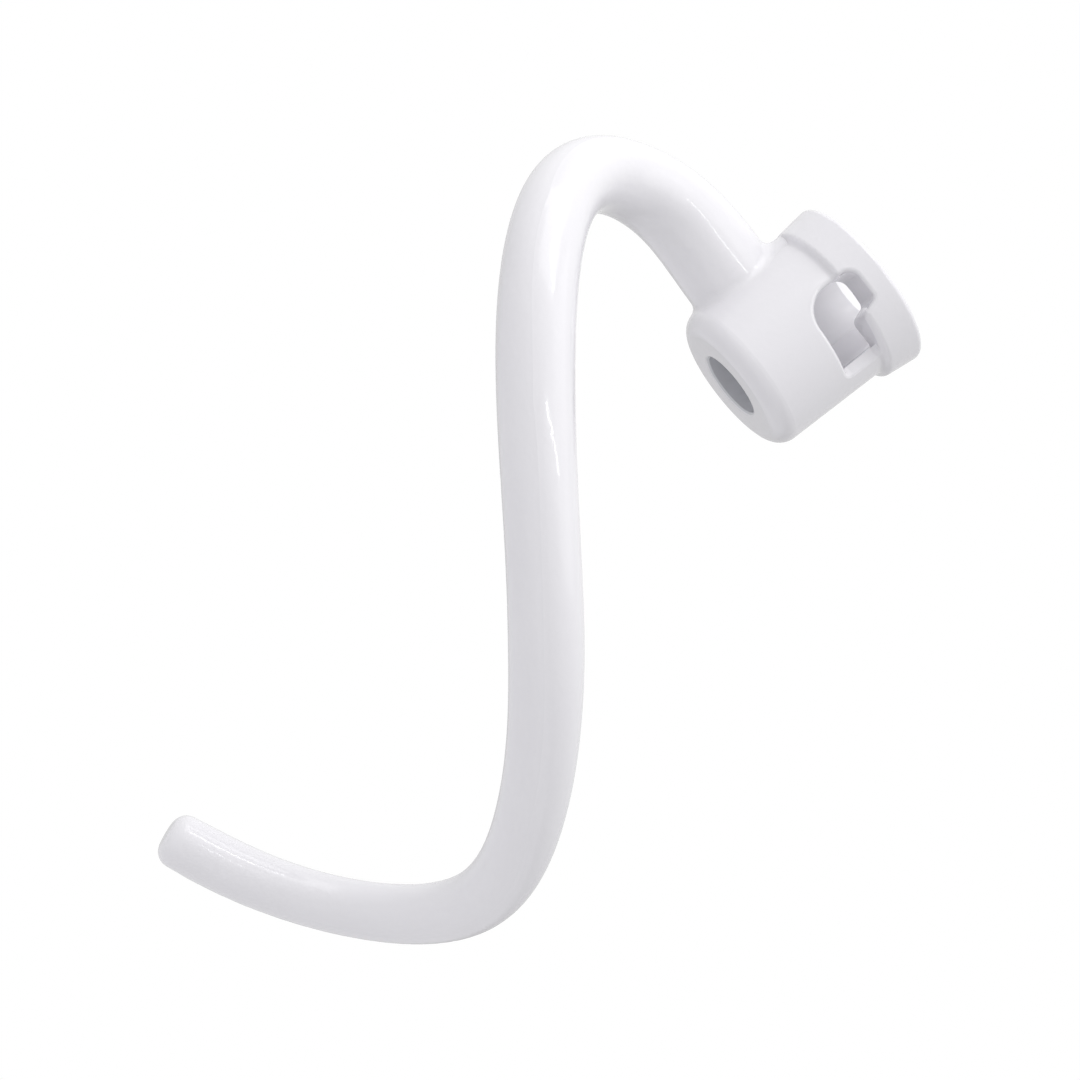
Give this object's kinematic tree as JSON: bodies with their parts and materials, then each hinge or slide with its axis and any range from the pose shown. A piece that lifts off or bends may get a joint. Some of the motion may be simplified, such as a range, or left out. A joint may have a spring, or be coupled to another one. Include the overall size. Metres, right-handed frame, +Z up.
{
  "type": "stand mixer dough hook",
  "caption": "Cast dough hook for a stand mixer: a bayonet hub for the drive shaft and a tapering rod that leaves it sideways and winds down and round into a blunt tip.",
  "frame": {"origin": "on the bore's axis, at the hub's flat lower face", "axes": "+Z up the drive shaft's axis towards the mixer, -X the way the arm leaves the hub, -Y towards the front of the winding"},
  "size_m": [0.102, 0.0629, 0.1665],
  "materials": {
    "white_coating": "smooth glossy white coating over cast aluminium, on every face"
  },
  "bodies": {
    "root": {"dough_hook": "white_coating"}
  },
  "joints": []
}
